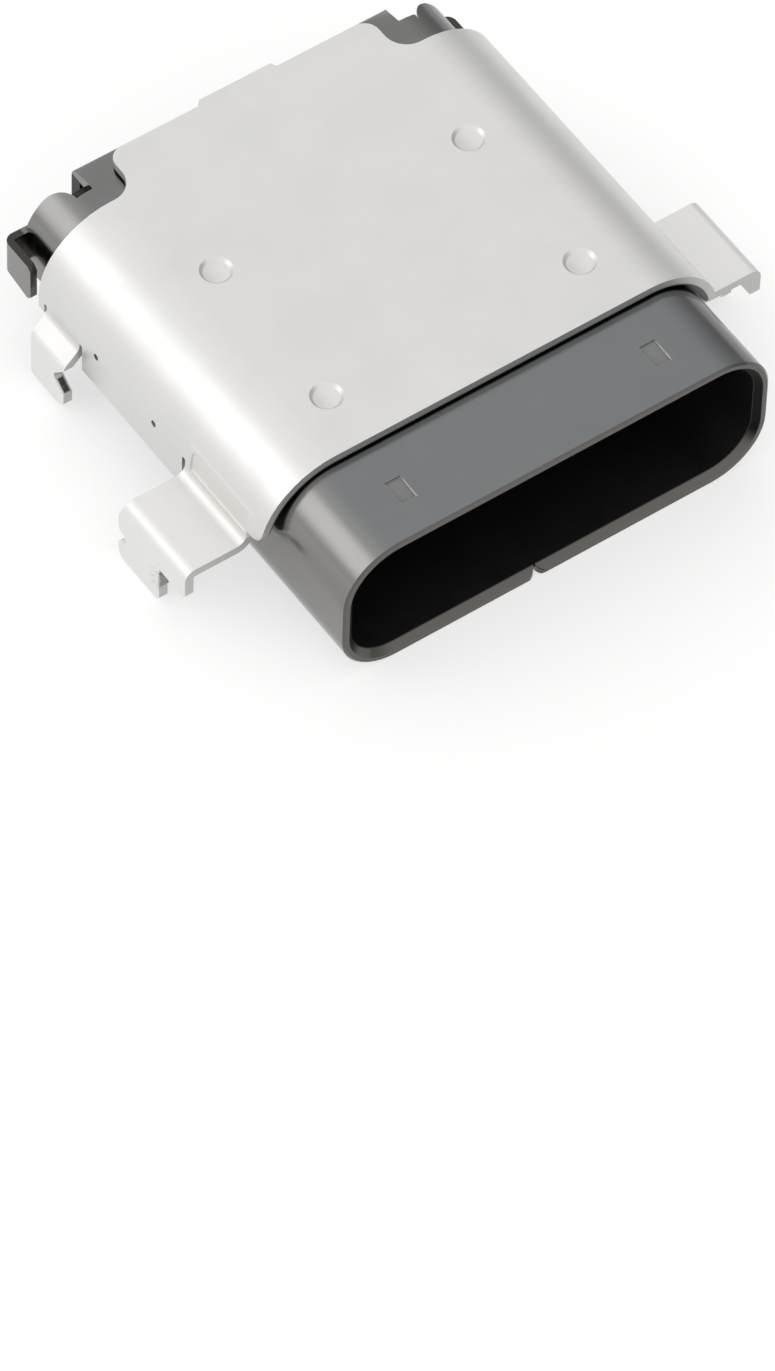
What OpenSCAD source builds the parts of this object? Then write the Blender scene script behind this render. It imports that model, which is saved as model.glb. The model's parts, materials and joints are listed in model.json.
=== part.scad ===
// USB-C socket, mid-mount type, for a board about 0.8 mm thick.
// Lengths are in millimetres. Each piece is drawn from the mouth: x runs to the right across
// the opening, y runs back into the socket from its front edge, and z runs up from its middle.
// The finished part has its underside at z = 0 and is centred on x and y, mouth towards -Y.

/* [Mouth and shell] */
// Width of the opening that takes the plug
mouth_w = 8.34; // [8.30:0.01:8.40]
// Height of the opening that takes the plug
mouth_h = 2.56; // [2.54:0.01:2.60]
// Corner radius of the opening
mouth_r = 0.87; // [0.80:0.01:0.95]
// Thickness of the drawn shell
shell_t = 0.25; // [0.20:0.01:0.25]
// Depth and width of the chamfer just inside the front edge
lead_in = 0.13; // [0.05:0.01:0.15]
// Where the sides of the shell end
shell_rim = 9.70; // [9.66:0.01:9.74]
// Rear face of the flap that closes the back of the shell
shell_rear = 9.92; // [9.88:0.01:9.96]
// Where the lower half of the shell stops, at the edge of the board's cut-out
shell_floor_end = 7.3; // [7.10:0.05:7.30]

/* [Cover] */
// Width of the cover over its side walls
cover_w = 9.54; // [9.50:0.01:9.58]
// Thickness of the cover sheet
cover_t = 0.18; // [0.15:0.01:0.18]
// Gap between the shell and the top of the cover
cover_gap = 0.05; // [0.03:0.01:0.06]
// Outer radius of the cover's rounded shoulders
cover_r = 1.5; // [1.40:0.05:1.55]
// Front edge of the cover
cover_front = 2.0; // [1.90:0.05:2.10]
// Rear edge of the cover's side walls
cover_rear = 8.7; // [8.65:0.01:8.75]
// Width of the tongue at the back of the cover
cover_tongue_w = 5.5; // [5.20:0.10:5.60]
// Diameter of the four pressed dimples
dimple_d = 0.6; // [0.50:0.05:0.70]

/* [Wings and legs] */
// Half of the width over the two front wings
wing_x = 6.02; // [5.90:0.02:6.20]
// Underside of the wings, where they sit on the board, below the middle of the mouth
seat_z = -0.13; // [-0.16:0.01:-0.12]
// Front edge of the wings
wing_front = 2.4; // [2.40:0.01:2.45]
// Rear edge of the wings
wing_rear = 4.24; // [4.20:0.01:4.28]
// How far the front feet reach below the middle of the mouth
foot_z = 1.50; // [1.40:0.02:1.52]
// Half of the width over the two rear legs
leg_x = 5.1; // [5.08:0.01:5.20]
// How far the rear legs reach below the middle of the mouth
leg_z = 1.36; // [1.30:0.02:1.44]

/* [Tongue] */
// Width of the tongue
tongue_w = 6.69; // [6.64:0.01:6.74]
// Thickness of the tongue between its contact faces
tongue_t = 0.70; // [0.68:0.01:0.72]
// Distance from the mouth back to the tip of the tongue
tongue_tip = 1.45; // [1.30:0.05:1.50]
// Where the tongue thickens into its root
tongue_step = 4.55; // [4.45:0.05:4.60]
// Depth of the space that the plug fills
floor_y = 6.2; // [6.15:0.01:6.25]
// Height of the tongue's root
root_h = 1.3; // [1.20:0.02:1.36]

/* [Contacts] */
// Number of contacts in each row
contacts = 12; // [12:12]
// Distance between two neighbouring contacts
pitch = 0.5; // [0.49:0.01:0.50]
// Thickness of the contact strip
contact_t = 0.12; // [0.10:0.01:0.12]
// Width of a signal contact
signal_w = 0.20; // [0.18:0.01:0.22]
// Width of a ground or supply contact
power_w = 0.25; // [0.22:0.01:0.28]
// End of the upper contacts' solder tails, the rearmost point of the part
tail_end = 10.3; // [10.10:0.05:10.40]
// How far the lower contacts' solder pins reach below the middle of the mouth
pin_z = 1.4; // [1.20:0.05:1.45]

/* [Hidden] */
$fn = 64;
// Reach of a cutter past the surface that it opens
over = 1;
shell_w = mouth_w + 2 * shell_t;
shell_h = mouth_h + 2 * shell_t;
shell_r = mouth_r + shell_t;
shell_top = shell_h / 2;
// How far a bent flap's sketch runs into the sheet that it is bent from
overlap = 0.05;

// Chamfer on the outer front edge of the shell
lip = 0.04;

// Groove where the shell's two edges meet, off the middle
seam_x = -0.4;
seam_half_w = 0.21;
seam_depth = 0.16;

// Two stamped marks on top of the shell, deeper at the front
mark_x = 2.64;
mark_y = [0.68, 1.20];
mark_w = 0.33;
mark_depth = [0.08, 0.03];

// Flap bent down at the back, with a relief notch at each side
flap_half_w = 3.27;
flap_bend = 0.28;
flap_bottom = 0.12;
relief_x = 3.6;
relief_y = [9.27, 9.45];
relief_r = 0.45;
relief_z = mouth_h / 4;

// The flap's corners, pressed down behind a slanting crease
crease_x = [2.73, 3.23];
crease_y = [9.70, 9.42];
crease_tilt = 14;

// Spring ears folded out and forward from the shell's rear corners, the left one further
ear_t = 0.14;
ear_left_x = 4.81;
ear_left_top = 0.75;
ear_right_x = 4.60;
ear_right_top = 0.56;
ear_front = 8.90;
ear_rear = 9.76;
ear_bend = 0.19;
ear_low = -0.10;
ear_heel = 0.14;
ear_cut = 0.09;

board_gap = 0.03;
rear_floor_z = seat_z + board_gap;

cover_top = shell_top + cover_gap + cover_t;
cover_wall_z = -0.42;
cover_corner_z = 0.36;
cover_corner_r = 0.27;
cover_heel_z = -0.05;
tongue_rear = 9.63;
tongue_step_rear = 9.74;
tongue_step_half_w = 0.78;
tongue_step_r = 0.055;
cover_tongue_r = 0.3;
cover_notch_r = 0.45;
dimple_x = 2.63;
dimple_rows = [3.15, 6.45];
dimple_depth = 0.06;
dimple_floor_d = dimple_d - 0.12;
dish_depth = 0.03;
dish_r = (pow(dimple_floor_d / 2, 2) + pow(dish_depth, 2)) / (2 * dish_depth);
pip_d = 0.13;
pip_z = 0.35;
pip_rows = [5.2, 6.95];

// Shallow pocket pressed into the wall above each wing
pocket_y = [2.45, 4.1];
pocket_z = [0.27, 0.75];
pocket_depth = 0.03;
pocket_r = 0.15;

// Wings: bent out on a concave radius, then down over the board's cut-out edge
wing_root_r = 0.20;
wing_edge_r = 0.22;
wing_root_z = seat_z + cover_t + wing_root_r;
flange_z = -0.62;
flange_r = 0.10;
foot_front = 3.17;
foot_rear = 4.40;
foot_r = [0.12, 0.22];
flare_z = [-0.42, -0.02];
waist_z = [-1.05, -0.82];
waist_y = 4.18;
waist_edge_r = 0.12;
slit_w = 0.09;
slit_top = 0.38;

// Stubs of the carrier strip, sheared off in front of the feet
stub = 0.03;
foot_stub_z = [-1.08, -0.76];

// Legs: a joggle out from the wall, then down to a wider head
leg_front = 7.45;
leg_rear = 8.45;
leg_root_z = 0.13;
leg_angle = 45;
leg_root_r = 0.20;
leg_edge_r = 0.23;
leg_slit_w = 0.08;
leg_slit_top = 0.2;
neck_front = 7.74;
neck_z = [-0.66, -0.34];
head_y = [7.42, 8.59];
head_z = [-1.00, -0.76];
head_r = [0.25, 0.30];

// Tongue, its mid plate and the two contact wafers
plate_t = 0.15;
plate_front = tongue_tip + 0.25;
plate_rear = 6.4;
latch_y = [3.05, 4.15];
latch_depth = 0.22;
tip_chamfer = 0.12;
tip_corner = 0.3;
wafer_w = 6.0;
wafer_step = 6.5;
wafer_split_z = 0.15;
wafer_join = 8.75;
housing_rear = 9.56;
shield_t = 0.10;
shield_w = 6.1;
shield_lip = 0.35;

// Bends in the contact strips
strip_bend = 0.08;
strip_angle = 60;
strip_drop_y = 8.85;
strip_rise_y = 6.6;
signal_front = 2.4;
power_front = 1.9;
pin_rows = [7.95, 8.5];
pin_bend = 0.10;
power_places = [0, 3, 8, 11];

UPPER = [for (i = [1:contacts]) str("contact_a", i < 10 ? "0" : "", i)];
LOWER = [for (i = [1:contacts]) str("contact_b", i < 10 ? "0" : "", i)];

// Helpers

module place() {
    translate([0, -tail_end / 2, shell_h / 2]) children();
}

// An outline drawn in x and z, run from y0 to y1
module along_y(y0, y1) {
    translate([0, y1, 0]) rotate([90, 0, 0]) linear_extrude(y1 - y0) children();
}

// An outline drawn in y and z, run from x0 to x1
module along_x(x0, x1) {
    translate([x0, 0, 0]) rotate([90, 0, 90]) linear_extrude(x1 - x0) children();
}

module both_sides() {
    children();
    mirror([1, 0, 0]) children();
}

module span(a, b) {
    translate([a[0], b[0]]) square([a[1] - a[0], b[1] - b[0]]);
}

module round_rect(w, h, r) {
    square([w - 2 * r, h], center = true);
    square([w, h - 2 * r], center = true);
    for (sx = [-1, 1], sy = [-1, 1]) translate([sx * (w / 2 - r), sy * (h / 2 - r)]) circle(r);
}

// The sliver left between a square corner and its rounding
module corner(r) {
    difference() {
        square(r);
        translate([r, r]) circle(r);
    }
}

// Part of a ring, from angle 0 to a, for a up to 90
module ring_part(r_in, r_out, a) {
    reach = 2 * r_out;
    intersection() {
        difference() {
            circle(r_out);
            circle(r_in);
        }
        polygon([[0, 0], [reach, 0], [reach, reach * tan(a / 2)], [reach * cos(a), reach * sin(a)]]);
    }
}

// Bent sheet in section. Each step carries on from the last one's end. The outer face runs
// along the x axis of the sketch and the sheet lies below it.
module flat(len, t) {
    translate([0, -t]) square([len, t]);
    translate([len, 0]) children();
}

// A bend towards the outer face, r on that face
module bend_up(r, a, t) {
    translate([0, r]) rotate(-90) ring_part(r, r + t, a);
    translate([0, r]) rotate(a) translate([0, -r]) children();
}

// A bend away from the outer face, r on that face
module bend_down(r, a, t) {
    translate([0, -r]) rotate(90 - a) ring_part(r - t, r, a);
    translate([0, -r]) rotate(-a) translate([0, r]) children();
}

// Length of the slope of a joggle that shifts a sheet sideways by shift
function slope(shift, r_a, r_b, a) = (shift - (r_a + r_b) * (1 - cos(a))) / sin(a);

// Inner shell

// A rounded rectangle whose front edge is larger than w and h by grow on every side, and
// which comes down to them over the given depth
module flare(w, h, r, depth, grow) {
    half_w = w / 2;
    half_h = h / 2;
    along_x(r - half_w, half_w - r) polygon([
        [0, -half_h - grow], [depth, -half_h], [depth, half_h], [0, half_h + grow]
    ]);
    translate([0, 0, r - half_h]) linear_extrude(h - 2 * r) polygon([
        [-half_w - grow, 0], [-half_w, depth], [half_w, depth], [half_w + grow, 0]
    ]);
    for (sx = [-1, 1], sz = [-1, 1]) {
        translate([sx * (half_w - r), 0, sz * (half_h - r)]) rotate([-90, 0, 0])
            cylinder(h = depth, r1 = r + grow, r2 = r);
    }
}

// The groove between the rolled corners of the shell's two edges
module seam_cutter() {
    roll_r = (pow(seam_half_w, 2) + pow(seam_depth, 2)) / (2 * seam_depth);
    along_y(-over, shell_floor_end + over) translate([seam_x, 0]) difference() {
        span([-seam_half_w, seam_half_w], [-shell_top - over, -shell_top + seam_depth]);
        for (side = [-1, 1]) {
            translate([side * seam_half_w, -shell_top + roll_r]) circle(roll_r);
        }
    }
}

module mark_cutter(side) {
    x = side * mark_x;
    along_x(x - mark_w / 2, x + mark_w / 2) polygon([
        [mark_y[0], shell_top - mark_depth[0]], [mark_y[1], shell_top - mark_depth[1]],
        [mark_y[1], shell_top + over], [mark_y[0], shell_top + over]
    ]);
}

// What opens the top of the rim beside the flap, with the rim's corner rounded
module relief_cutter(y0) {
    translate([0, 0, relief_z]) linear_extrude(shell_h) {
        span([-over, relief_x], [y0, shell_rim + over]);
        translate([relief_x, shell_rim]) mirror([0, 1]) corner(relief_r);
    }
}

// The flap on the right of the middle, bent down at the back, with its corner pressed down
module half_flap() {
    run = [crease_x[1] - crease_x[0], crease_y[1] - crease_y[0]];
    difference() {
        along_x(0, flap_half_w) translate([relief_y[0] - overlap, shell_top]) {
            flat(shell_rear - flap_bend - relief_y[0] + overlap, shell_t)
                bend_down(flap_bend, 90, shell_t)
                flat(shell_top - flap_bend - flap_bottom, shell_t);
        }
        translate([crease_x[0], crease_y[0], shell_top]) rotate(atan2(run[1], run[0]))
            rotate([-crease_tilt, 0, 0]) translate([-over, 0, 0]) cube([3 * over, over, over]);
    }
}

// An ear on the right, bent round from the end of the shell's side wall
module shell_ear(x, top) {
    wall_x = shell_w / 2 - ear_t;
    bend_y = ear_rear - ear_bend;
    intersection() {
        translate([0, 0, -shell_h]) linear_extrude(2 * shell_h) {
            span([x - ear_t, x], [ear_front, bend_y]);
            span([wall_x, x - ear_bend], [ear_rear - ear_t, ear_rear]);
            translate([x - ear_bend, bend_y]) ring_part(ear_bend - ear_t, ear_bend, 90);
        }
        along_x(0, shell_w) polygon([
            [ear_front, ear_low + ear_cut], [ear_front, top - ear_cut], [ear_front + ear_cut, top],
            [ear_rear, top], [ear_rear, ear_low + ear_heel], [ear_front + ear_cut, ear_low]
        ]);
    }
}

module inner_shell() color("dimgray") place() {
    difference() {
        union() {
            along_y(lip, shell_rim) round_rect(shell_w, shell_h, shell_r);
            flare(shell_w, shell_h, shell_r, lip, -lip);
        }
        along_y(-over, shell_rim + over) round_rect(mouth_w, mouth_h, mouth_r);
        flare(mouth_w, mouth_h, mouth_r, lead_in, lead_in);
        seam_cutter();
        along_y(shell_floor_end, shell_rim + over) {
            span([-shell_w, shell_w], [-shell_h, rear_floor_z]);
        }
        mirror([1, 0, 0]) relief_cutter(relief_y[0]);
        relief_cutter(relief_y[1]);
        mark_cutter(1);
        mark_cutter(-1);
    }
    both_sides() half_flap();
    mirror([1, 0, 0]) shell_ear(ear_left_x, ear_left_top);
    shell_ear(ear_right_x, ear_right_top);
}

// Outer cover

// Section of the channel: flat top, rounded shoulders and straight walls
module arch(w, top, r) {
    span([-w / 2 + r, w / 2 - r], [cover_wall_z - over, top]);
    span([-w / 2, w / 2], [cover_wall_z - over, top - r]);
    for (side = [-1, 1]) translate([side * (w / 2 - r), top - r]) circle(r);
}

// The blank's outline seen from above
module cover_plan() {
    half = cover_tongue_w / 2;
    span([-cover_w, cover_w], [cover_front, cover_rear]);
    difference() {
        span([-half, half], [cover_front, tongue_rear]);
        for (side = [0, 1]) mirror([side, 0]) {
            translate([half, tongue_rear]) rotate(180) corner(cover_tongue_r);
        }
    }
    difference() {
        span([-tongue_step_half_w, tongue_step_half_w], [cover_front, tongue_step_rear]);
        for (side = [0, 1]) mirror([side, 0]) {
            translate([tongue_step_half_w, tongue_step_rear]) rotate(180) corner(tongue_step_r);
        }
    }
    for (side = [0, 1]) mirror([side, 0]) {
        translate([half, cover_rear]) corner(cover_notch_r);
        translate([tongue_step_half_w, tongue_rear]) corner(tongue_step_r);
    }
}

// What the press cuts out of the side walls, seen from the side
module wall_cuts() {
    span([cover_front - over, wing_front], [-over, cover_corner_z]);
    translate([cover_front, cover_corner_z]) corner(cover_corner_r);
    span([wing_front, wing_rear + slit_w], [-over, wing_root_z]);
    span([wing_rear, wing_rear + slit_w], [-over, slit_top - slit_w / 2]);
    translate([wing_rear + slit_w / 2, slit_top - slit_w / 2]) circle(slit_w / 2);
    span([leg_front - leg_slit_w, leg_rear + leg_slit_w], [-over, leg_root_z]);
    for (y = [leg_front - leg_slit_w / 2, leg_rear + leg_slit_w / 2]) {
        span([y - leg_slit_w / 2, y + leg_slit_w / 2], [-over, leg_slit_top - leg_slit_w / 2]);
        translate([y, leg_slit_top - leg_slit_w / 2]) circle(leg_slit_w / 2);
    }
    span([leg_rear, cover_rear + over], [-over, cover_heel_z]);
}

// The skin that the press pushes in to form the two pockets
module pockets() {
    inset = 2 * pocket_depth;
    corner_y = pocket_y[1] - pocket_r;
    corner_z = pocket_z[1] - pocket_r;
    intersection() {
        along_y(cover_front - over, cover_rear) difference() {
            arch(cover_w + inset, cover_top + over, cover_r);
            arch(cover_w - inset, cover_top, cover_r - pocket_depth);
        }
        along_x(-cover_w, cover_w) {
            span([pocket_y[0], corner_y], pocket_z);
            span([pocket_y[0], pocket_y[1]], [pocket_z[0], corner_z]);
            translate([corner_y, corner_z]) circle(pocket_r);
        }
    }
}

// Wing and foot together, seen from the side
module wing_side() {
    waist_r = (waist_z[1] - waist_z[0]) / 2;
    difference() {
        polygon([
            [wing_front, wing_root_z], [wing_front, flange_z], [foot_front, flange_z],
            [foot_front, -foot_z], [foot_rear, -foot_z], [foot_rear, flare_z[0]],
            [wing_rear, flare_z[1]], [wing_rear, wing_root_z]
        ]);
        span([waist_y + waist_r, foot_rear + over], waist_z);
        translate([waist_y + waist_r, waist_z[0] + waist_r]) circle(waist_r);
        translate([foot_rear, waist_z[1]]) mirror([1, 0]) corner(waist_edge_r);
        translate([foot_rear, waist_z[0]]) rotate(180) corner(waist_edge_r);
        translate([foot_rear, -foot_z]) mirror([1, 0]) corner(foot_r[1]);
        translate([foot_front, -foot_z]) corner(foot_r[0]);
        translate([wing_front, flange_z]) corner(flange_r);
    }
    span([foot_front - stub, foot_front], foot_stub_z);
}

module leg_side() {
    difference() {
        polygon([
            [leg_front, leg_root_z], [leg_front, neck_z[1]], [neck_front, neck_z[0]],
            [neck_front, head_z[1]], [head_y[0], head_z[0]], [head_y[0], -leg_z],
            [head_y[1], -leg_z], [head_y[1], head_z[0]], [leg_rear, neck_z[0]],
            [leg_rear, leg_root_z]
        ]);
        translate([head_y[0], -leg_z]) corner(head_r[0]);
        translate([head_y[1], -leg_z]) mirror([1, 0]) corner(head_r[1]);
    }
}

module wing() {
    half = cover_w / 2;
    reach = wing_x - half - wing_root_r - wing_edge_r;
    intersection() {
        along_y(wing_front, foot_rear) translate([half, wing_root_z]) rotate(-90)
            bend_up(wing_root_r, 90, cover_t)
            flat(reach, cover_t)
            bend_down(wing_edge_r, 90, cover_t)
            flat(foot_z + seat_z + cover_t - wing_edge_r, cover_t);
        along_x(0, wing_x + over) wing_side();
    }
}

module leg() {
    half = cover_w / 2;
    run = slope(leg_x - half, leg_root_r, leg_edge_r, leg_angle);
    drop = (leg_root_r + leg_edge_r) * sin(leg_angle) + run * cos(leg_angle);
    intersection() {
        along_y(leg_front, leg_rear) translate([half, leg_root_z]) rotate(-90)
            bend_up(leg_root_r, leg_angle, cover_t)
            flat(run, cover_t)
            bend_down(leg_edge_r, leg_angle, cover_t)
            flat(leg_z + leg_root_z - drop, cover_t);
        along_x(0, wing_x) leg_side();
    }
}

// A dimple's cavity above the sheet, and the boss that it presses out below
module dimple_cavity() {
    translate([0, 0, cover_top - dimple_depth]) {
        cylinder(h = dimple_depth, d1 = dimple_floor_d, d2 = dimple_d);
        intersection() {
            translate([0, 0, dish_r - dish_depth]) sphere(dish_r);
            translate([0, 0, -dish_depth]) cylinder(h = dish_depth, d = dimple_floor_d);
        }
    }
}

module dimple_boss() {
    translate([0, 0, shell_top]) {
        cylinder(h = cover_gap, d1 = dimple_floor_d, d2 = dimple_d);
        cylinder(h = cover_gap + overlap, d = dimple_floor_d);
    }
}

module outer_cover() color("gainsboro") place() {
    difference() {
        union() {
            difference() {
                intersection() {
                    along_y(cover_front, tongue_step_rear) difference() {
                        arch(cover_w, cover_top, cover_r);
                        arch(cover_w - 2 * cover_t, cover_top - cover_t, cover_r - cover_t);
                    }
                    translate([0, 0, cover_wall_z]) linear_extrude(cover_top - cover_wall_z)
                        cover_plan();
                }
                along_x(-cover_w, cover_w) wall_cuts();
            }
            for (side = [-1, 1], y = dimple_rows) translate([side * dimple_x, y, 0]) dimple_boss();
        }
        for (side = [-1, 1], y = dimple_rows) translate([side * dimple_x, y, 0]) dimple_cavity();
        pockets();
        for (y = pip_rows) translate([0, y, pip_z]) rotate([0, 90, 0])
            cylinder(h = 2 * cover_w, d = pip_d, center = true);
    }
    both_sides() {
        wing();
        leg();
    }
}

// Mouldings, seen from the side

module upper_wafer_side() {
    polygon([
        [plate_front, plate_t / 2], [wafer_step, plate_t / 2], [wafer_step, wafer_split_z],
        [wafer_join, wafer_split_z], [wafer_join, rear_floor_z], [housing_rear, rear_floor_z],
        [housing_rear, tongue_t / 2], [plate_front, tongue_t / 2]
    ]);
}

module lower_wafer_side() {
    polygon([
        [plate_front, -tongue_t / 2], [shell_floor_end, -tongue_t / 2], [shell_floor_end, rear_floor_z],
        [wafer_join, rear_floor_z], [wafer_join, wafer_split_z], [wafer_step, wafer_split_z],
        [wafer_step, -plate_t / 2], [plate_front, -plate_t / 2]
    ]);
}

module wafer_form() {
    along_x(-wafer_w / 2, wafer_w / 2) children();
}

module latch_cuts() {
    for (side = [-1, 1]) {
        translate([side * tongue_w / 2, (latch_y[0] + latch_y[1]) / 2, 0])
            cube([2 * latch_depth, latch_y[1] - latch_y[0], over], center = true);
    }
}

// The tongue's outline from above, rounded at the tip
module tongue_plan(front, rear) {
    difference() {
        span([-tongue_w / 2, tongue_w / 2], [front, rear]);
        for (side = [0, 1]) mirror([side, 0]) {
            translate([-tongue_w / 2, front]) corner(tip_corner);
        }
    }
}

module tongue_form() {
    half = tongue_t / 2;
    intersection() {
        translate([0, 0, -half]) linear_extrude(tongue_t) tongue_plan(tongue_tip, floor_y + over / 2);
        along_x(-tongue_w, tongue_w) polygon([
            [tongue_tip, half - tip_chamfer], [tongue_tip + tip_chamfer, half], [floor_y + over, half],
            [floor_y + over, -half], [tongue_tip + tip_chamfer, -half], [tongue_tip, tip_chamfer - half]
        ]);
    }
}

module tongue_housing() color([0.13, 0.13, 0.14]) place() {
    difference() {
        union() {
            tongue_form();
            translate([-tongue_w / 2, tongue_step, -root_h / 2])
                cube([tongue_w, floor_y - tongue_step + over / 4, root_h]);
            along_y(floor_y, housing_rear) round_rect(mouth_w, mouth_h, mouth_r);
        }
        wafer_form() upper_wafer_side();
        wafer_form() lower_wafer_side();
        plate_form();
        latch_cuts();
        shield_form(1);
        shield_form(-1);
        along_y(shell_floor_end, housing_rear + over) {
            span([-mouth_w, mouth_w], [-mouth_h, rear_floor_z]);
        }
    }
}

module upper_wafer() color([0.20, 0.20, 0.21]) place() {
    difference() {
        wafer_form() upper_wafer_side();
        for (i = [0:contacts - 1]) upper_contact_form(i);
    }
}

module lower_wafer() color([0.20, 0.20, 0.21]) place() {
    difference() {
        wafer_form() lower_wafer_side();
        for (i = [0:contacts - 1]) lower_contact_form(i);
    }
}

// Metal plates

module plate_form() {
    translate([0, 0, -plate_t / 2]) linear_extrude(plate_t)
        span([-tongue_w / 2, tongue_w / 2], [plate_front, plate_rear]);
}

module mid_plate() color("silver") place() {
    difference() {
        plate_form();
        latch_cuts();
    }
}

// The plate over the tongue's root and the lip that turns up the floor behind it
module shield_form(side) {
    top = root_h / 2;
    along_x(-shield_w / 2, shield_w / 2) scale([1, side]) {
        span([tongue_step, floor_y], [top - shield_t, top]);
        span([floor_y - shield_t, floor_y], [top - shield_t, top + shield_lip]);
    }
}

module upper_shield_plate() color("silver") place() shield_form(1);

module lower_shield_plate() color("silver") place() shield_form(-1);

// Contacts

function contact_x(i) = (i - (contacts - 1) / 2) * pitch;
function is_power(i) = len(search(i, power_places)) > 0;
function strip_w(i) = is_power(i) ? power_w : signal_w;
function strip_front(i) = is_power(i) ? power_front : signal_front;

// Flush in the top of the tongue, then down to a solder tail level with the board
module upper_contact_form(i) {
    outer = strip_bend + contact_t;
    drop = tongue_t / 2 - seat_z - contact_t;
    run = slope(drop, outer, strip_bend, strip_angle);
    joggle = (outer + strip_bend) * sin(strip_angle) + run * cos(strip_angle);
    x = contact_x(i);
    w = strip_w(i);
    along_x(x - w / 2, x + w / 2) translate([strip_front(i), tongue_t / 2])
        flat(strip_drop_y - strip_front(i), contact_t)
        bend_down(outer, strip_angle, contact_t)
        flat(run, contact_t)
        bend_up(strip_bend, strip_angle, contact_t)
        flat(tail_end - strip_drop_y - joggle, contact_t);
}

// Flush in the underside of the tongue, up over the board's edge, then down as a solder pin
module lower_contact_form(i) {
    outer = strip_bend + contact_t;
    rise = tongue_t / 2 - contact_t / 2;
    run = slope(rise, outer, strip_bend, strip_angle);
    joggle = (outer + strip_bend) * sin(strip_angle) + run * cos(strip_angle);
    pin_y = pin_rows[i % 2] - pin_bend - contact_t / 2;
    x = contact_x(i);
    w = strip_w(i);
    along_x(x - w / 2, x + w / 2) mirror([0, 1]) translate([strip_front(i), tongue_t / 2])
        flat(strip_rise_y - strip_front(i), contact_t)
        bend_down(outer, strip_angle, contact_t)
        flat(run, contact_t)
        bend_up(strip_bend, strip_angle, contact_t)
        flat(pin_y - strip_rise_y - joggle, contact_t)
        bend_up(pin_bend, 90, contact_t)
        flat(pin_z - contact_t / 2 - pin_bend, contact_t);
}

module upper_contact(i) color("gold") place() upper_contact_form(i);

module lower_contact(i) color("gold") place() lower_contact_form(i);

outer_cover();
inner_shell();
tongue_housing();
upper_wafer();
lower_wafer();
mid_plate();
upper_shield_plate();
lower_shield_plate();
for (i = [0:contacts - 1]) {
    upper_contact(i);
    lower_contact(i);
}
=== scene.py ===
# USB-C socket for a board cut-out: finishes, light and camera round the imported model.
import json
import math
import bmesh
import bpy
from mathutils import Matrix, Vector

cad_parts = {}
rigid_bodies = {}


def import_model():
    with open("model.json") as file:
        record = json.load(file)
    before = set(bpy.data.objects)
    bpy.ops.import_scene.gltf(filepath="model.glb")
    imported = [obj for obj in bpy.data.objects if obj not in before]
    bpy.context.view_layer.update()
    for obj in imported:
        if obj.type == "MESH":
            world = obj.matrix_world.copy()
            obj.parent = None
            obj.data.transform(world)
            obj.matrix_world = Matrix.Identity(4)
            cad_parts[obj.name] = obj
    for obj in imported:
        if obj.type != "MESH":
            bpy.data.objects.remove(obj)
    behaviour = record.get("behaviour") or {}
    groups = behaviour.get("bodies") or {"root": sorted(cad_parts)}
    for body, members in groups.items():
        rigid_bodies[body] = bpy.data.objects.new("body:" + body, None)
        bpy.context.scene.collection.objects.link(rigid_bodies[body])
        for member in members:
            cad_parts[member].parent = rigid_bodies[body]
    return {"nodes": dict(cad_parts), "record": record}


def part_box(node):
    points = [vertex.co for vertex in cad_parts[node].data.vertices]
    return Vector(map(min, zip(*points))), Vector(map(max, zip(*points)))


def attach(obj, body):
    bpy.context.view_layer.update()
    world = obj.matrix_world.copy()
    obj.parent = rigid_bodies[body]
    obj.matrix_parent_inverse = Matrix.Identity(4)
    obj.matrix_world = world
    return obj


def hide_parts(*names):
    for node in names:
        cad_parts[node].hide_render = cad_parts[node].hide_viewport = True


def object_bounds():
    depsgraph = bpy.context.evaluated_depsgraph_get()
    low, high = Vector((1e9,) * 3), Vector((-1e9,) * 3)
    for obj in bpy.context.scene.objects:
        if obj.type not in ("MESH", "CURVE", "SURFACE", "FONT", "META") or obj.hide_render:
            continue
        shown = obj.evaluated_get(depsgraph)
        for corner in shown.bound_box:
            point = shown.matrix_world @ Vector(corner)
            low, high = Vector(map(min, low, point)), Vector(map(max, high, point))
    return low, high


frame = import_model()
cadLow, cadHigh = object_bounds()
nodes = frame["nodes"]
mm = 0.001
print("loaded", len(nodes), "nodes")

shellLow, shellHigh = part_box("inner_shell")
mouthCentre = Vector((0.0, shellLow.y, (shellLow.z + shellHigh.z) / 2))


# Camera: a long lens looking down at the left side of the mouth
camera = {
    "azimuth": 36.603,         # degrees, turned from straight into the mouth
    "elevation": 52.825,       # degrees above the board
    "roll": 2.135,             # degrees
    "distance": 188.9 * mm,
    "lensInPixels": 11134,     # focal length in the photograph's pixels
    "imageHeight": 1371,       # the photograph's long side, in pixels
    "sensor": 36.0,
    "mouthRight": 2.892 * mm,  # where the middle of the mouth lies from the image's centre
    "mouthUp": 2.923 * mm,
    "clip": (10 * mm, 2000 * mm),
}


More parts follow.
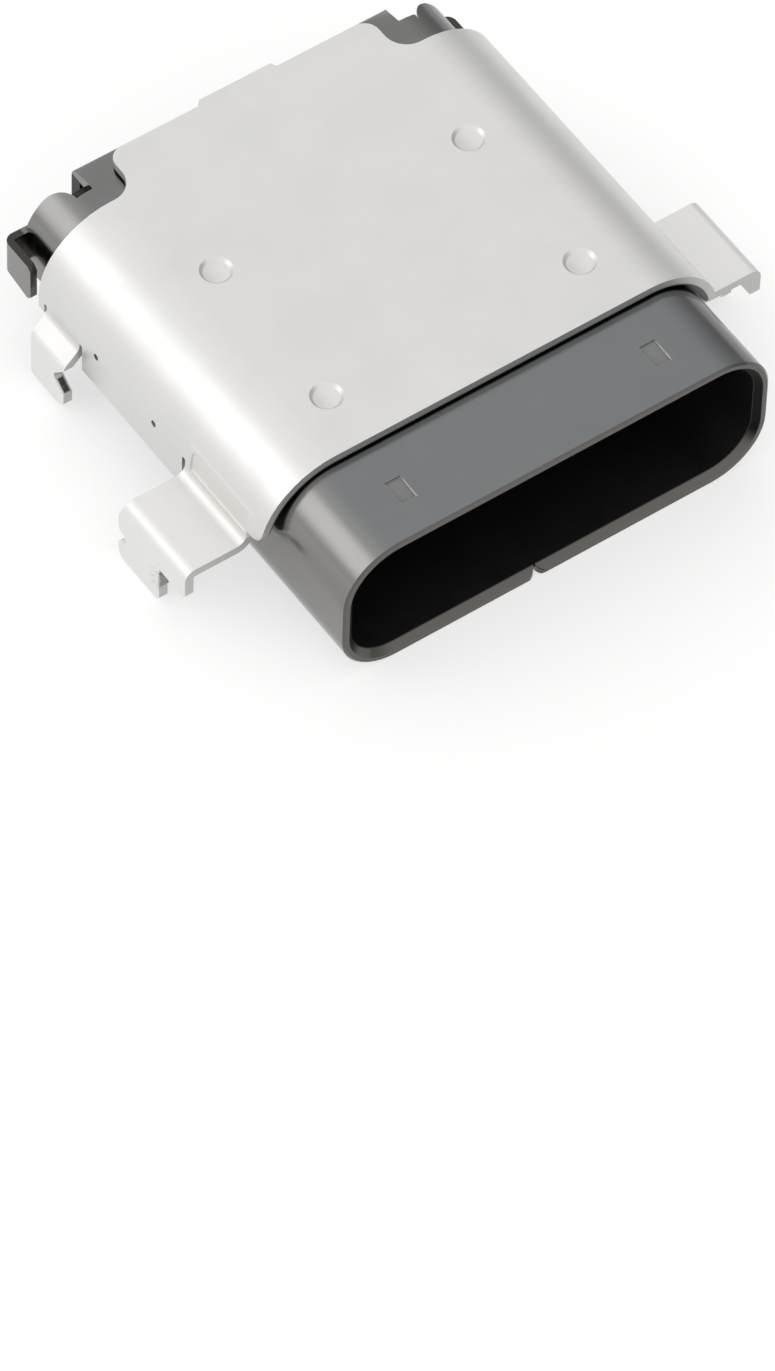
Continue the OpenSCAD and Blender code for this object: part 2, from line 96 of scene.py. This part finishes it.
def makeCamera(s):
    az, el, roll = (math.radians(s[k]) for k in ("azimuth", "elevation", "roll"))
    ahead = Vector((math.sin(az) * math.cos(el), math.cos(az) * math.cos(el), -math.sin(el)))
    level = Vector((math.cos(az), -math.sin(az), 0.0))
    upright = level.cross(ahead)
    right = level * math.cos(roll) + upright * math.sin(roll)
    up = upright * math.cos(roll) - level * math.sin(roll)
    data = bpy.data.cameras.new("photo_camera")
    data.sensor_width = s["sensor"]
    data.lens = s["lensInPixels"] * s["sensor"] / s["imageHeight"]
    data.clip_start, data.clip_end = s["clip"]
    cam = bpy.data.objects.new("photo_camera", data)
    turn = Matrix((right, up, -ahead)).transposed().to_4x4()
    place = mouthCentre - right * s["mouthRight"] - up * s["mouthUp"] - ahead * s["distance"]
    cam.matrix_world = Matrix.Translation(place) @ turn
    bpy.context.scene.collection.objects.link(cam)
    bpy.context.scene.camera = cam
    print("camera placed")


makeCamera(camera)


# Shader nodes: put adds one, and the others add one and give back what comes out of it
def put(tree, kind, inputs=None, **options):
    node = tree.nodes.new("ShaderNode" + kind)
    for key, value in options.items():
        setattr(node, key, value)
    for key, value in (inputs or {}).items():
        if isinstance(value, bpy.types.NodeSocket):
            tree.links.new(value, node.inputs[key])
        else:
            node.inputs[key].default_value = value
    return node


def calc(tree, operation, a, b=0.0, clamp=False):
    return put(tree, "Math", {0: a, 1: b}, operation=operation, use_clamp=clamp).outputs[0]


def plus(tree, a, b, clamp=False):
    return calc(tree, "ADD", a, b, clamp)


def minus(tree, a, b):
    return calc(tree, "SUBTRACT", a, b)


def times(tree, a, b):
    return calc(tree, "MULTIPLY", a, b)


def larger(tree, a, b, clamp=False):
    return calc(tree, "MAXIMUM", a, b, clamp)


def unsigned(tree, value):
    return calc(tree, "ABSOLUTE", value)


def split(tree, vector):
    return put(tree, "SeparateXYZ", {0: vector}).outputs


def ramp(tree, value, low, high, atLow=0.0, atHigh=1.0):
    limits = {0: value, 1: low, 2: high, 3: atLow, 4: atHigh}
    return put(tree, "MapRange", limits, interpolation_type="SMOOTHSTEP").outputs[0]


def fade(tree, value, low, high):  # the other way round: 1 below low and 0 above high
    return ramp(tree, value, low, high, 1.0, 0.0)


def blend(tree, amount, a, b):
    return put(tree, "Mix", {0: amount, 6: a, 7: b}, data_type="RGBA").outputs[2]


# Floor and light: a lit white table, a white room that is brighter on the left, and a softbox
studio = {
    "tableSize": 900 * mm,
    "tableDrop": 0.002 * mm,  # under the part's lowest point
    "tableColour": (0.40, 0.40, 0.40, 1.0),
    "tableGlow": 0.60,
    "tableRoughness": 0.9,
    "tableSpecular": 0.1,
    "left": 1.12,            # the room's light from -X
    "right": 0.51,           # and from +X
    "turnsAt": (0.32, 1.0),  # the X of a direction between which the one becomes the other
    "horizonShade": 0.88,    # how much of it is left at the horizon
    "shadeEndsAt": 0.5,      # the Z of a direction from which all of it is left
    "softboxToward": (-0.70, 0.46, 0.54),
    "softboxEdge": (0.90, 0.995),  # cosines between which the softbox fades in
    "softboxLight": 1.05,
    "tint": (1.0, 0.995, 0.985, 1.0),
}


def makeTable(s):
    half = s["tableSize"] / 2
    z = cadLow.z - s["tableDrop"]
    corners = [(-half, -half, z), (half, -half, z), (half, half, z), (-half, half, z)]
    mesh = bpy.data.meshes.new("lit_table")
    mesh.from_pydata(corners, [], [(0, 1, 2, 3)])
    table = bpy.data.objects.new("lit_table", mesh)
    bpy.context.scene.collection.objects.link(table)
    paper = bpy.data.materials.new("white_table")
    paper.use_nodes = True
    skin = paper.node_tree.nodes["Principled BSDF"]
    skin.inputs["Base Color"].default_value = s["tableColour"]
    skin.inputs["Roughness"].default_value = s["tableRoughness"]
    skin.inputs["Specular IOR Level"].default_value = s["tableSpecular"]
    skin.inputs["Emission Color"].default_value = (1, 1, 1, 1)
    skin.inputs["Emission Strength"].default_value = s["tableGlow"]
    mesh.materials.append(paper)


def makeRoom(s):
    world = bpy.data.worlds.new("white_room")
    world.use_nodes = True
    tree = world.node_tree
    back = tree.nodes["Background"]
    toward = put(tree, "TexCoord").outputs["Generated"]
    way = split(tree, toward)
    room = ramp(tree, way["X"], *s["turnsAt"], s["left"], s["right"])
    low = ramp(tree, way["Z"], 0.0, s["shadeEndsAt"], s["horizonShade"], 1.0)
    aim = Vector(s["softboxToward"]).normalized()
    facing = put(tree, "VectorMath", {0: toward, 1: aim}, operation="DOT_PRODUCT")
    softbox = ramp(tree, facing.outputs["Value"], *s["softboxEdge"], 0.0, s["softboxLight"])
    tree.links.new(plus(tree, times(tree, room, low), softbox), back.inputs["Strength"])
    back.inputs["Color"].default_value = s["tint"]
    bpy.context.scene.world = world
    bpy.context.scene.view_settings.view_transform = "Standard"
    print("table and room made")


makeTable(studio)
makeRoom(studio)


# Joined corners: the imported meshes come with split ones, so each gets joined and smoothed first
joining = {
    "within": 0.00002 * mm,
    "smoothBelow": 32,       # degrees
}


def joinTree(s):
    tree = bpy.data.node_groups.new("join_and_smooth", "GeometryNodeTree")
    tree.interface.new_socket("Geometry", in_out="INPUT", socket_type="NodeSocketGeometry")
    tree.interface.new_socket("Geometry", in_out="OUTPUT", socket_type="NodeSocketGeometry")
    start = tree.nodes.new("NodeGroupInput")
    plain = tree.nodes.new("GeometryNodeRemoveAttribute")
    plain.inputs["Name"].default_value = "custom_normal"
    joined = tree.nodes.new("GeometryNodeMergeByDistance")
    joined.inputs["Distance"].default_value = s["within"]
    angle = tree.nodes.new("GeometryNodeInputMeshEdgeAngle")
    gentle = tree.nodes.new("FunctionNodeCompare")
    gentle.operation = "LESS_THAN"
    gentle.inputs["B"].default_value = math.radians(s["smoothBelow"])
    faces = tree.nodes.new("GeometryNodeSetShadeSmooth")
    shade = tree.nodes.new("GeometryNodeSetShadeSmooth")
    shade.domain = "EDGE"
    end = tree.nodes.new("NodeGroupOutput")
    for a, b in (
        (start.outputs[0], plain.inputs[0]),
        (plain.outputs[0], joined.inputs[0]),
        (joined.outputs[0], faces.inputs[0]),
        (faces.outputs[0], shade.inputs[0]),
        (angle.outputs[0], gentle.inputs["A"]),
        (gentle.outputs[0], shade.inputs["Shade Smooth"]),
        (shade.outputs[0], end.inputs[0]),
    ):
        tree.links.new(a, b)
    return tree


join = joinTree(joining)


# The rolled shell's seam: at the lip its two ends are rounded off, which leaves a cusp
seam = {
    "x": -0.36 * mm,
    "round": 0.21 * mm,      # radius of each end's corner, seen from below
    "steps": 10,
    "above": 0.33 * mm,      # the cut goes this high, clear of the bottom wall and the chamfer
    "below": 0.05 * mm,      # and this far out under the wall and in front of the lip
}


def cuspOutline(s):  # two quarter circles that meet behind the lip, open towards it
    r = s["round"]
    turns = [math.pi / 2 * step / s["steps"] for step in range(s["steps"] + 1)]
    right = [(r - r * math.cos(a), r - r * math.sin(a)) for a in turns]
    rim = [(r, -s["below"]), (-r, -s["below"])]
    return right + rim + [(-x, y) for x, y in reversed(right[1:])]


def prism(name, outline, low, high):
    count = len(outline)
    corners = [(x, y, z) for z in (low, high) for x, y in outline]
    sides = [(i, (i + 1) % count, (i + 1) % count + count, i + count) for i in range(count)]
    caps = [tuple(reversed(range(count))), tuple(range(count, 2 * count))]
    mesh = bpy.data.meshes.new(name)
    mesh.from_pydata(corners, [], sides + caps)
    work = bmesh.new()
    work.from_mesh(mesh)
    bmesh.ops.recalc_face_normals(work, faces=work.faces)
    work.to_mesh(mesh)
    work.free()
    return bpy.data.objects.new(name, mesh)


def openSeam(s):
    whole = bpy.data.objects["inner_shell"]
    piece = bpy.data.objects.new("seamed_shell", whole.data.copy())
    outline = [(s["x"] + x, shellLow.y + y) for x, y in cuspOutline(s)]
    cutter = prism("seam_cutter", outline, shellLow.z - s["below"], shellLow.z + s["above"])
    for ob in (piece, cutter):
        bpy.context.scene.collection.objects.link(ob)
    piece.modifiers.new("join", "NODES").node_group = join
    cut = piece.modifiers.new("cut", "BOOLEAN")
    cut.operation = "DIFFERENCE"
    cut.solver = "EXACT"
    cut.object = cutter
    bpy.context.view_layer.update()
    ready = piece.evaluated_get(bpy.context.evaluated_depsgraph_get())
    mesh = bpy.data.meshes.new_from_object(ready)
    piece.modifiers.clear()
    piece.data = mesh
    bpy.data.objects.remove(cutter)
    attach(piece, "root")
    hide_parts("inner_shell")
    print("seam opened,", len(mesh.polygons), "faces")
    return piece


seamedShell = openSeam(seam)


# Soft edges: each flat face is made whole, and then its sharp edges get a small round
softening = {
    "flatWithin": 0.4,       # degrees, between the triangles of one flat face
    "sharpFrom": joining["smoothBelow"],
    "segments": 2,
    "width": {"outer_cover": 0.014 * mm, "inner_shell": 0.014 * mm, "other": 0.008 * mm},
}


def softenEdges(s):
    for name in nodes:
        # seamed_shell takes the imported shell's place, so that one stays as it is
        ob = seamedShell if name == "inner_shell" else bpy.data.objects[name]
        ob.modifiers.new("join", "NODES").node_group = join
        flat = ob.modifiers.new("flat_faces", "DECIMATE")
        flat.decimate_type = "DISSOLVE"
        flat.angle_limit = math.radians(s["flatWithin"])
        bevel = ob.modifiers.new("soft_edges", "BEVEL")
        bevel.width = s["width"].get(name, s["width"]["other"])
        bevel.segments = s["segments"]
        bevel.limit_method = "ANGLE"
        bevel.angle_limit = math.radians(s["sharpFrom"])
        bevel.use_clamp_overlap = True
        bevel.harden_normals = True
    print("edges softened on", len(nodes), "nodes")


softenEdges(softening)


# What every finish is drawn with. Places in a finish are in millimetres in the part's own frame,
# a box is its low corner, its high corner and how soft its sides are, a facing is one part of the
# surface's direction, and a noise is its waves in a millimetre, its detail and its roughness.
drawing = {
    "bevelSamples": 6,
    "edgeCosine": (0.75, 0.97),  # of a rounded normal to the true one, on an edge and off it
    "rubbed": (0.35, 0.6),       # grain between which an edge goes from sound to rubbed
    "glossCloud": (0.3, 0.7),    # noise between which the first roughness becomes the second
}


def newFinish(name):
    material = bpy.data.materials.new(name)
    material.use_nodes = True
    tree = material.node_tree
    return material, tree, tree.nodes["Principled BSDF"]


def placeInMm(tree):
    own = put(tree, "TexCoord").outputs["Object"]
    return put(tree, "VectorMath", {0: own, "Scale": 1 / mm}, operation="SCALE").outputs[0]


def facings(tree):
    return split(tree, put(tree, "TexCoord").outputs["Normal"])


def stretched(tree, place, by):
    return put(tree, "VectorMath", {0: place, 1: by}, operation="MULTIPLY").outputs[0]


def noise(tree, place, perMm, detail, rough):
    values = {"Vector": place, "Scale": perMm, "Detail": detail, "Roughness": rough}
    return put(tree, "TexNoise", values).outputs[0]


def boxMask(tree, place, low, high, soft):  # 1 inside a box, and inside its mirror image in X
    at = split(tree, place)
    inside = 1.0
    for value, start, end in zip((unsigned(tree, at["X"]), at["Y"], at["Z"]), low, high):
        begun = ramp(tree, value, start - soft, start + soft)
        within = times(tree, begun, fade(tree, value, end - soft, end + soft))
        inside = times(tree, inside, within)
    return inside


def outsideBy(tree, across, up, core):  # how far a point is from a rectangle round the middle
    out = [
        larger(tree, minus(tree, unsigned(tree, value), half), 0.0)
        for value, half in zip((across, up), core)
    ]
    return calc(tree, "SQRT", plus(tree, *(calc(tree, "POWER", value, 2.0) for value in out)))


def edgeMask(tree, radius):  # 1 along edges, where a rounded normal leaves the true one
    rounded = put(tree, "Bevel", {"Radius": radius}, samples=drawing["bevelSamples"]).outputs[0]
    true = put(tree, "NewGeometry").outputs["Normal"]
    cosine = put(tree, "VectorMath", {0: rounded, 1: true}, operation="DOT_PRODUCT")
    return fade(tree, cosine.outputs["Value"], *drawing["edgeCosine"])


def rubbedEdges(tree, radius, grain):
    return times(tree, edgeMask(tree, radius), ramp(tree, grain, *drawing["rubbed"]))


def gloss(tree, cloud, roughness):
    return ramp(tree, cloud, *drawing["glossCloud"], *roughness)


def bump(tree, skin, height, depth):
    raised = put(tree, "Bump", {"Height": height, "Distance": depth})
    tree.links.new(raised.outputs[0], skin.inputs["Normal"])


# Outer cover: matt plated sheet, darker on its cut edges, rough and dark where the strip tore, with
# painted light on wings, legs and pocket rims and painted shade on its inside
coverFinish = {
    "plating": (0.682, 0.678, 0.667, 1.0),
    "platingDull": (0.670, 0.667, 0.657, 1.0),
    "cloud": (0.9, 4.0, 0.55),
    "dullCloud": (0.35, 0.7),
    "roughness": (0.38, 0.44),
    "grain": (34.0, 2.0, 0.7),
    "grainDepth": 0.00030 * mm,
    "roll": (7.0, 3.0, 0.6),
    "rollStretch": (1.0, 0.06, 1.0),
    "rollShare": 0.8,            # of the grain's depth
    # pale on rubbed edges, and as a painted highlight on the pocket rims
    "rubbedEdge": (0.86, 0.85, 0.83, 1.0),
    "rubRadius": 0.03 * mm,
    "rubShare": 0.6,
    "cutEdge": (0.52, 0.52, 0.51, 1.0),
    "cutFacing": (0.75, 0.95),   # forwards or backwards
    "cutShare": 0.8,
    "cutRoughness": 0.12,        # added to the sheet's own
    "pockets": ((4.60, -2.80, 1.70), (4.80, -0.95, 2.35), 0.02),
    "pocketFloor": (0.85, 0.97),  # facing sideways; the rest is a pocket's rim, painted pale over the dark its walls reflect, and no cut edge
    # painted shade: the cover's inside, over the gap to the shell, is painted dark
    "inside": (0.12, 0.118, 0.115, 1.0),
    "insideCore": (3.27, 1.79),  # the shoulders' inner faces run round this x and z
    "insideRadius": (1.33, 1.36),
    "wing": (0.765, 0.762, 0.752, 1.0),
    "wingFrom": (4.77, 4.85),    # in x, out on wings and legs, painted paler as a highlight, and duller
    "wingRoughness": 0.14,
    "tear": (0.13, 0.127, 0.122, 1.0),      # on the legs
    "tearPale": (0.48, 0.473, 0.46, 1.0),   # on the feet
    "feet": ((5.80, -2.08, 0.42), (6.10, -1.96, 0.80), 0.015),
    "legs": ((4.95, 2.22, 0.56), (5.07, 2.54, 0.80), 0.015),
    "legFacing": (0.2, 0.4),     # sideways, where a leg is sound
    "tearRoughness": 0.35,
    "tearDepth": 30.0,           # in depths of the grain
    "ragged": (26.0, 5.0, 0.75),
    "brokenRagged": (0.30, 0.42),
    "footSpeckle": ((5.90, -2.05, 0.30), (6.10, -1.72, 0.82), 0.05),
    "speckleRagged": (0.53, 0.60),
    "speckleShare": 0.7,
}


def tornEnds(tree, place, ragged, sideways, s):
    feet = boxMask(tree, place, *s["feet"])
    legs = times(tree, boxMask(tree, place, *s["legs"]), fade(tree, sideways, *s["legFacing"]))
    broken = times(tree, larger(tree, feet, legs), ramp(tree, ragged, *s["brokenRagged"]))
    spots = ramp(tree, ragged, *s["speckleRagged"])
    speckle = times(tree, boxMask(tree, place, *s["footSpeckle"]), spots)
    torn = larger(tree, broken, times(tree, speckle, s["speckleShare"]), clamp=True)
    return torn, blend(tree, legs, s["tearPale"], s["tear"])


def plateCover(s):
    material, tree, skin = newFinish("matt_plated_sheet")
    place = placeInMm(tree)
    at = split(tree, place)
    facing = facings(tree)
    sideways = unsigned(tree, facing["X"])
    cloud = noise(tree, place, *s["cloud"])
    grain = noise(tree, place, *s["grain"])
    rolled = noise(tree, stretched(tree, place, s["rollStretch"]), *s["roll"])
    ragged = noise(tree, place, *s["ragged"])

    pocket = boxMask(tree, place, *s["pockets"])
    # painted highlight: a pocket's rim is painted pale to cover the dark reflection in its walls
    paintedPocketRim = times(tree, pocket, fade(tree, sideways, *s["pocketFloor"]))
    cutFace = ramp(tree, unsigned(tree, facing["Y"]), *s["cutFacing"])
    cutFace = times(tree, cutFace, minus(tree, 1.0, pocket))
    rubbed = times(tree, rubbedEdges(tree, s["rubRadius"], grain), s["rubShare"])
    outboard = ramp(tree, unsigned(tree, at["X"]), *s["wingFrom"])
    # painted shade inside the cover
    inside = fade(tree, outsideBy(tree, at["X"], at["Z"], s["insideCore"]), *s["insideRadius"])
    torn, tornColour = tornEnds(tree, place, ragged, sideways, s)

    colour = blend(tree, ramp(tree, cloud, *s["dullCloud"]), s["plating"], s["platingDull"])
    # wings and legs painted paler, a painted highlight
    colour = blend(tree, outboard, colour, s["wing"])
    colour = blend(tree, times(tree, cutFace, s["cutShare"]), colour, s["cutEdge"])
    colour = blend(tree, larger(tree, rubbed, paintedPocketRim), colour, s["rubbedEdge"])
    colour = blend(tree, inside, colour, s["inside"])
    colour = blend(tree, torn, colour, tornColour)
    tree.links.new(colour, skin.inputs["Base Color"])

    roughness = gloss(tree, cloud, s["roughness"])
    roughness = plus(tree, roughness, times(tree, cutFace, s["cutRoughness"]))
    roughness = plus(tree, roughness, times(tree, outboard, s["wingRoughness"]))
    roughness = plus(tree, roughness, times(tree, torn, s["tearRoughness"]), clamp=True)
    tree.links.new(roughness, skin.inputs["Roughness"])
    skin.inputs["Metallic"].default_value = 1.0

    height = plus(tree, grain, times(tree, rolled, s["rollShare"]))
    height = plus(tree, height, times(tree, times(tree, ragged, torn), s["tearDepth"]))
    bump(tree, skin, height, s["grainDepth"])
    print("cover plated")
    return material


# Inner shell: dark nickel over drawn steel, with painted shade: dead black inside the mouth, darker
# on the right shoulder and towards the rear, and painted light on the left shoulder and the walls
shellFinish = {
    "nickel": (0.172, 0.181, 0.186, 1.0),
    "nickelPale": (0.180, 0.189, 0.194, 1.0),
    "cloud": (1.3, 4.0, 0.55),
    "paleCloud": (0.4, 0.75),
    "roughness": (0.17, 0.22),
    "grain": (46.0, 2.0, 0.7),
    "grainDepth": 0.00010 * mm,
    "draw": (9.0, 3.0, 0.6),
    "drawStretch": (1.0, 0.05, 1.0),
    "drawShare": 0.8,            # of the grain's depth
    # painted shade: upward faces are painted darker towards the rear
    "nickelRearShade": (0.170, 0.170, 0.168, 1.0),
    "rearFrom": (3.6, 4.0),      # in y
    "rearFacing": (0.85, 0.95),  # upwards
    # painted highlight: paler nickel on the left shoulder
    "nickelLeftHighlight": (0.234, 0.232, 0.229, 1.0),
    "leftHighlightFacing": (-0.45, -0.12),  # to the left, on that shoulder, where a highlight is painted
    # painted shade: darker nickel on the right shoulder
    "nickelRightShade": (0.118, 0.118, 0.117, 1.0),
    "rightShadeFacing": (0.25, 0.65),  # to the right, on the other one, where shade is painted
    "nickelWallLight": (0.206, 0.203, 0.198, 1.0),
    "wallLightFacing": (0.85, 0.98),  # sideways, on the walls, which are painted paler as light
    "lip": (0.114, 0.108, 0.101, 1.0),
    "lipDepth": (0.03, 0.05),    # behind the front edge
    "lead": (0.112, 0.106, 0.099, 1.0),  # the chamfer inside the lip
    "leadFacing": (-0.65, -0.4),  # forwards
    "rubbedEdge": (0.46, 0.455, 0.45, 1.0),
    "rubRadius": 0.03 * mm,
    "rubShare": 0.5,
    "ears": ((4.45, 3.60, 1.80), (5.20, 4.75, 2.40), 0.02),
    "earEdge": (0.055, 0.053, 0.050, 1.0),
    "earFacing": (0.5, 0.8),     # upwards
    # painted shade: the mouth's inside is painted near black
    "inside": (0.045, 0.045, 0.047, 1.0),
    "mouthCore": (3.30, 0.41),   # half width and height of the line that the opening runs round
    "mouthRadius": (0.885, 0.905),  # how far from that line its dark inside ends
    "mouthDepth": (0.005, 0.015),  # behind the front edge, where the dark begins
    # painted dark reflection on the chamfer inside the lip
    "chamferDark": (0.009, 0.009, 0.0095, 1.0),
    "chamferDepth": 0.13,        # where the chamfer ends
    "chamferSoft": 0.02,
    "chamferLit": (0.2, 0.5),    # facing upwards, where it isn't dark
    "darkRoughness": 0.3,        # added inside the mouth and in the marks
    "marks": ((2.47, -4.48, 2.90), (2.81, -3.94, 3.052), 0.004),
    "markFloor": (0.172, 0.174, 0.176, 1.0),
    "markWall": (0.75, 0.75, 0.75, 1.0),
    "markFacing": (-0.6, -0.3),  # to the left, on the wall that catches the light
    "markMetal": 0.15,
}


def mouthMask(tree, place, facingUp, s):  # 1 in the opening, where its shade is painted dark, and 1 on its chamfer
    at = split(tree, place)
    front = shellLow.y / mm
    behind = ramp(tree, at["Y"], *(front + depth for depth in s["mouthDepth"]))
    level = minus(tree, at["Z"], mouthCentre.z / mm)
    # how much wider the chamfer makes the opening at this depth
    flare = larger(tree, minus(tree, front + s["chamferDepth"], at["Y"]), 0.0)
    away = minus(tree, outsideBy(tree, at["X"], level, s["mouthCore"]), flare)
    chamfer = ramp(tree, flare, 0.0, s["chamferSoft"])
    lit = times(tree, ramp(tree, facingUp, *s["chamferLit"]), chamfer)
    dark = times(tree, fade(tree, away, *s["mouthRadius"]), behind)
    return times(tree, dark, minus(tree, 1.0, lit)), chamfer


def plateShell(s):
    material, tree, skin = newFinish("dark_nickel")
    place = placeInMm(tree)
    along = split(tree, place)["Y"]
    facing = facings(tree)
    cloud = noise(tree, place, *s["cloud"])
    grain = noise(tree, place, *s["grain"])
    drawn = noise(tree, stretched(tree, place, s["drawStretch"]), *s["draw"])

    rear = times(tree, ramp(tree, facing["Z"], *s["rearFacing"]), ramp(tree, along, *s["rearFrom"]))
    side = ramp(tree, unsigned(tree, facing["X"]), *s["wallLightFacing"])
    lip = fade(tree, along, *(shellLow.y / mm + depth for depth in s["lipDepth"]))
    rubbed = times(tree, rubbedEdges(tree, s["rubRadius"], grain), s["rubShare"])
    ears = times(tree, boxMask(tree, place, *s["ears"]), ramp(tree, facing["Z"], *s["earFacing"]))
    dark, chamfer = mouthMask(tree, place, facing["Z"], s)
    darkColour = blend(tree, chamfer, s["inside"], s["chamferDark"])
    marked = boxMask(tree, place, *s["marks"])
    bright = fade(tree, facing["X"], *s["markFacing"])
    markColour = blend(tree, bright, s["markFloor"], s["markWall"])

    colour = blend(tree, ramp(tree, cloud, *s["paleCloud"]), s["nickel"], s["nickelPale"])
    for amount, over in (
        # painted shade towards the rear
        (rear, s["nickelRearShade"]),
        # painted highlight on the left shoulder
        (fade(tree, facing["X"], *s["leftHighlightFacing"]), s["nickelLeftHighlight"]),
        # painted shade on the right shoulder
        (ramp(tree, facing["X"], *s["rightShadeFacing"]), s["nickelRightShade"]),
        # painted light on the walls
        (side, s["nickelWallLight"]),
        (fade(tree, facing["Y"], *s["leadFacing"]), s["lead"]),
        (lip, s["lip"]),
        (rubbed, s["rubbedEdge"]),
        (ears, s["earEdge"]),
        # painted shade in the mouth and on its chamfer
        (dark, darkColour),
        (marked, markColour),
    ):
        colour = blend(tree, amount, colour, over)
    tree.links.new(colour, skin.inputs["Base Color"])

    added = times(tree, larger(tree, dark, marked), s["darkRoughness"])
    roughness = plus(tree, gloss(tree, cloud, s["roughness"]), added, clamp=True)
    tree.links.new(roughness, skin.inputs["Roughness"])
    tree.links.new(ramp(tree, marked, 0.0, 1.0, 1.0, s["markMetal"]), skin.inputs["Metallic"])
    bump(tree, skin, plus(tree, grain, times(tree, drawn, s["drawShare"])), s["grainDepth"])
    print("shell plated")
    return material


# Mouldings: black glass-filled resin with pale fibre ends and a fine spark-eroded texture
moulding = {
    "fibreStretch": (0.5, 1.0, 1.0),
    "fibreEnds": (0.60, 0.72),   # noise between which the resin turns to fibre
    "flow": (1.6, 3.0, 0.5),
    "flowStretch": (0.4, 1.0, 1.0),
    "rubRadius": 0.02 * mm,
    "rubShare": 0.4,
}
blackResin = {
    **moulding,
    "resin": (0.0105, 0.0105, 0.0115, 1.0),
    "fibre": (0.045, 0.045, 0.045, 1.0),
    "roughness": (0.50, 0.66),
    "fibres": (40.0, 2.0, 0.5),
    "texture": (30.0, 4.0, 0.65),
    "textureDepth": 0.0010 * mm,
}
waferResin = {
    **moulding,
    "resin": (0.020, 0.020, 0.022, 1.0),
    "fibre": (0.060, 0.060, 0.058, 1.0),
    "roughness": (0.40, 0.55),
    "fibres": (55.0, 2.0, 0.5),
    "texture": (40.0, 4.0, 0.65),
    "textureDepth": 0.0006 * mm,
}


def mouldResin(name, s):
    material, tree, skin = newFinish(name)
    place = placeInMm(tree)
    fibres = noise(tree, stretched(tree, place, s["fibreStretch"]), *s["fibres"])
    texture = noise(tree, place, *s["texture"])
    flow = noise(tree, stretched(tree, place, s["flowStretch"]), *s["flow"])
    rubbed = times(tree, edgeMask(tree, s["rubRadius"]), s["rubShare"])
    colour = blend(tree, ramp(tree, fibres, *s["fibreEnds"]), s["resin"], s["fibre"])
    colour = blend(tree, rubbed, colour, s["fibre"])
    tree.links.new(colour, skin.inputs["Base Color"])
    tree.links.new(gloss(tree, flow, s["roughness"]), skin.inputs["Roughness"])
    bump(tree, skin, texture, s["textureDepth"])
    print(name, "moulded")
    return material


# Plates in the tongue: bare stamped steel, lapped from side to side
plateFinish = {
    "steel": (0.50, 0.50, 0.505, 1.0),
    "steelDark": (0.38, 0.38, 0.385, 1.0),
    "cloud": (1.5, 3.0, 0.55),
    "darkCloud": (0.35, 0.7),
    "roughness": (0.26, 0.42),
    "rubbedEdge": (0.70, 0.70, 0.70, 1.0),
    "rubRadius": 0.02 * mm,
    "rubShare": 0.5,
    "lap": (16.0, 4.0, 0.6),
    "lapStretch": (0.04, 1.0, 1.0),
    "lapDepth": 0.00045 * mm,
}


def stampPlates(s):
    material, tree, skin = newFinish("bare_stamped_steel")
    place = placeInMm(tree)
    lapped = noise(tree, stretched(tree, place, s["lapStretch"]), *s["lap"])
    cloud = noise(tree, place, *s["cloud"])
    rubbed = times(tree, edgeMask(tree, s["rubRadius"]), s["rubShare"])
    colour = blend(tree, ramp(tree, cloud, *s["darkCloud"]), s["steel"], s["steelDark"])
    colour = blend(tree, rubbed, colour, s["rubbedEdge"])
    tree.links.new(colour, skin.inputs["Base Color"])
    tree.links.new(gloss(tree, lapped, s["roughness"]), skin.inputs["Roughness"])
    skin.inputs["Metallic"].default_value = 1.0
    bump(tree, skin, lapped, s["lapDepth"])
    print("plates stamped")
    return material


# Contacts: gold on the contact faces, tin on the ends that are soldered
contactFinish = {
    "gold": (0.80, 0.58, 0.25, 1.0),
    "goldPale": (0.86, 0.68, 0.38, 1.0),
    "cloud": (3.0, 3.0, 0.55),
    "paleCloud": (0.35, 0.7),
    "roughness": (0.20, 0.34),
    "tin": (0.66, 0.66, 0.65, 1.0),
    "tinRoughness": 0.5,
    "tailFrom": (4.39, 4.45),    # in y, where the tin begins on the upper contacts' tails
    "pinBelow": (0.97, 1.03),    # in z, and on the lower contacts' pins
    "pinFrom": (2.58, 2.62),     # in y, which leaves out what is in the tongue
    "stroke": (22.0, 3.0, 0.6),
    "strokeStretch": (1.0, 0.06, 1.0),
    "strokeDepth": 0.00030 * mm,
}


def plateContacts(s):
    material, tree, skin = newFinish("gold_and_tin")
    place = placeInMm(tree)
    at = split(tree, place)
    cloud = noise(tree, place, *s["cloud"])
    stroke = noise(tree, stretched(tree, place, s["strokeStretch"]), *s["stroke"])
    pin = times(tree, fade(tree, at["Z"], *s["pinBelow"]), ramp(tree, at["Y"], *s["pinFrom"]))
    tinned = larger(tree, ramp(tree, at["Y"], *s["tailFrom"]), pin)
    colour = blend(tree, ramp(tree, cloud, *s["paleCloud"]), s["gold"], s["goldPale"])
    colour = blend(tree, tinned, colour, s["tin"])
    tree.links.new(colour, skin.inputs["Base Color"])
    shine = {0: tinned, 2: gloss(tree, cloud, s["roughness"]), 3: s["tinRoughness"]}
    tree.links.new(put(tree, "Mix", shine, data_type="FLOAT").outputs[0], skin.inputs["Roughness"])
    skin.inputs["Metallic"].default_value = 1.0
    bump(tree, skin, stroke, s["strokeDepth"])
    print("contacts plated")
    return material


# Each node wears the finish of its slot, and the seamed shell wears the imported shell's
def dressNodes():
    finishes = {
        "plated_cover": plateCover(coverFinish),
        "dark_shell": plateShell(shellFinish),
        "black_resin": mouldResin("black_resin", blackResin),
        "wafer_resin": mouldResin("wafer_resin", waferResin),
        "bare_steel": stampPlates(plateFinish),
        "contact_gold": plateContacts(contactFinish),
    }
    for part in frame["record"]["subparts"]:
        for slot in bpy.data.objects[part["node"]].material_slots:
            slot.material = finishes[part["material_slot"]]
    for slot in seamedShell.material_slots:
        slot.material = finishes["dark_shell"]
    print("finishes on", len(nodes), "nodes")


dressNodes()
